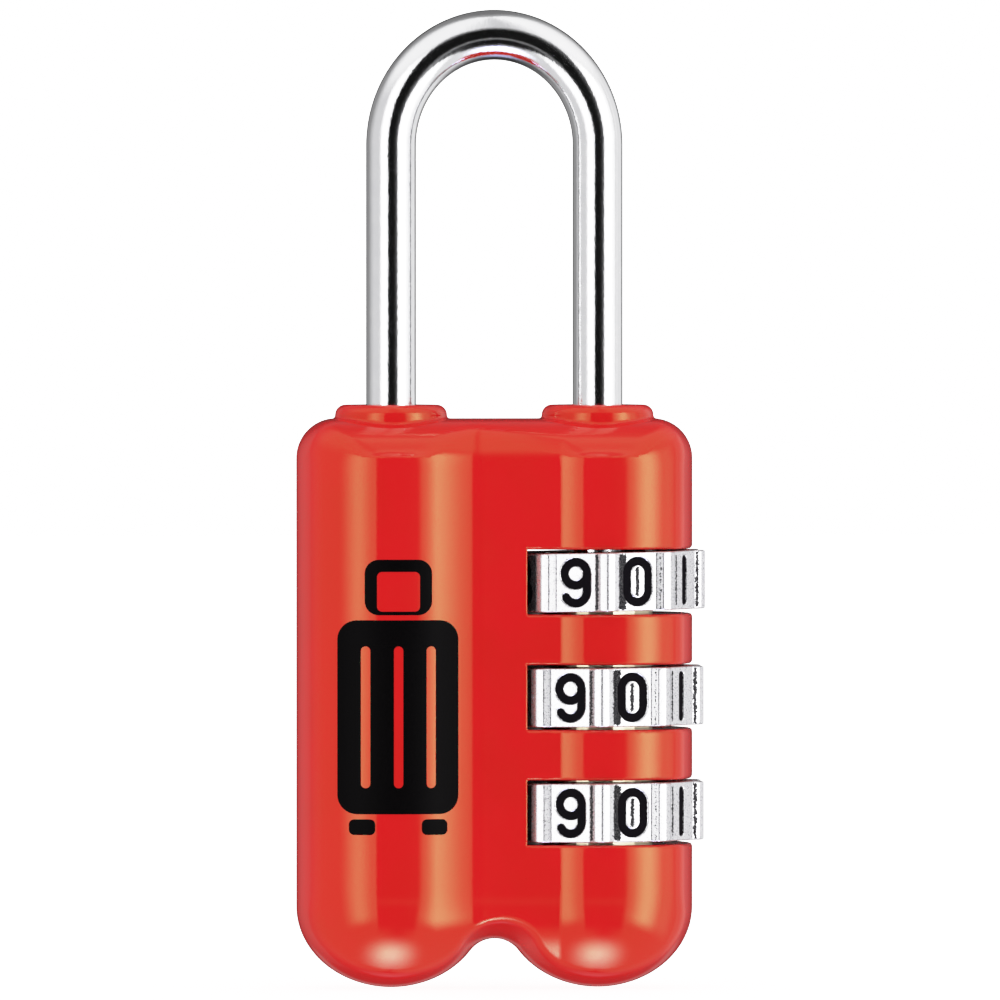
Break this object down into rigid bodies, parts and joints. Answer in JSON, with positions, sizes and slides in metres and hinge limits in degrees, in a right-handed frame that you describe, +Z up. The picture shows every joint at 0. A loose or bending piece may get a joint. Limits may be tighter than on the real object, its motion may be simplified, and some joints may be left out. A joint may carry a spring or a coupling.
{
  "type": "combination padlock",
  "caption": "Small luggage padlock: a lobed enamelled body, a long steel shackle, and number dials in side slots that free the shackle.",
  "frame": {"origin": "the underside of the shackle's crown, in the middle of the padlock's width and thickness, where the thing that the padlock hangs on bears", "axes": "+Z up from the body to the shackle's crown, +X to the right seen from the front, with the dials on the +X side; the front with the opening code faces -Y"},
  "size_m": [0.0237, 0.0126, 0.0567],
  "materials": {
    "enamel": "glossy red-orange enamel on a zinc casting",
    "shackle_steel": "bright nickel-plated steel wire",
    "dial_chrome": "chrome-plated zinc, digits filled with black paint",
    "sleeve_brass": "turned brass",
    "washer_steel": "plain steel",
    "spring_steel": "drawn spring steel"
  },
  "bodies": {
    "housing": {"body_casting": "enamel", "bottom_plug": "enamel", "channel_plug": "enamel", "detent_spring": "spring_steel", "clutch_spring": "spring_steel", "lift_spring": "spring_steel"},
    "shackle": {"shackle": "shackle_steel"},
    "dial_1": {"dial_1": "dial_chrome"},
    "dial_2": {"dial_2": "dial_chrome"},
    "dial_3": {"dial_3": "dial_chrome"},
    "clutch_1": {"clutch_sleeve_1": "sleeve_brass"},
    "clutch_2": {"clutch_sleeve_2": "sleeve_brass"},
    "clutch_3": {"clutch_sleeve_3": "sleeve_brass"},
    "washer": {"thrust_washer": "washer_steel"}
  },
  "joints": [
    {"name": "shackle_lift", "type": "slide", "parent": "housing", "child": "shackle", "axis": [0, 0, 1], "range_m": [0, 0.00667], "deforming": ["lift_spring"]},
    {"name": "dial_1_spin", "type": "hinge", "parent": "housing", "child": "dial_1", "pos_m": [0.006, 0, -0.03025], "axis": [0, 0, 1], "continuous": true, "deforming": ["detent_spring"]},
    {"name": "dial_2_spin", "type": "hinge", "parent": "housing", "child": "dial_2", "pos_m": [0.006, 0, -0.03692], "axis": [0, 0, 1], "continuous": true},
    {"name": "dial_3_spin", "type": "hinge", "parent": "housing", "child": "dial_3", "pos_m": [0.006, 0, -0.04359], "axis": [0, 0, 1], "continuous": true},
    {"name": "clutch_3_reset", "type": "slide", "parent": "dial_3", "child": "clutch_3", "axis": [0, 0, -1], "range_m": [0, 0.0012], "stiffness_N_per_m": 150, "springref_m": -0.002, "deforming": ["clutch_spring"]},
    {"name": "clutch_2_reset", "type": "slide", "parent": "dial_2", "child": "clutch_2", "axis": [0, 0, -1], "range_m": [0, 0.0012]},
    {"name": "clutch_1_reset", "type": "slide", "parent": "dial_1", "child": "clutch_1", "axis": [0, 0, -1], "range_m": [0, 0.0012]},
    {"name": "washer_reset", "type": "slide", "parent": "housing", "child": "washer", "axis": [0, 0, -1], "range_m": [0, 0.0012]}
  ],
  "couplings": [
    {"joint": "clutch_2_reset", "follows": "clutch_3_reset", "ratio": 1},
    {"joint": "clutch_1_reset", "follows": "clutch_3_reset", "ratio": 1},
    {"joint": "washer_reset", "follows": "clutch_3_reset", "ratio": 1}
  ]
}
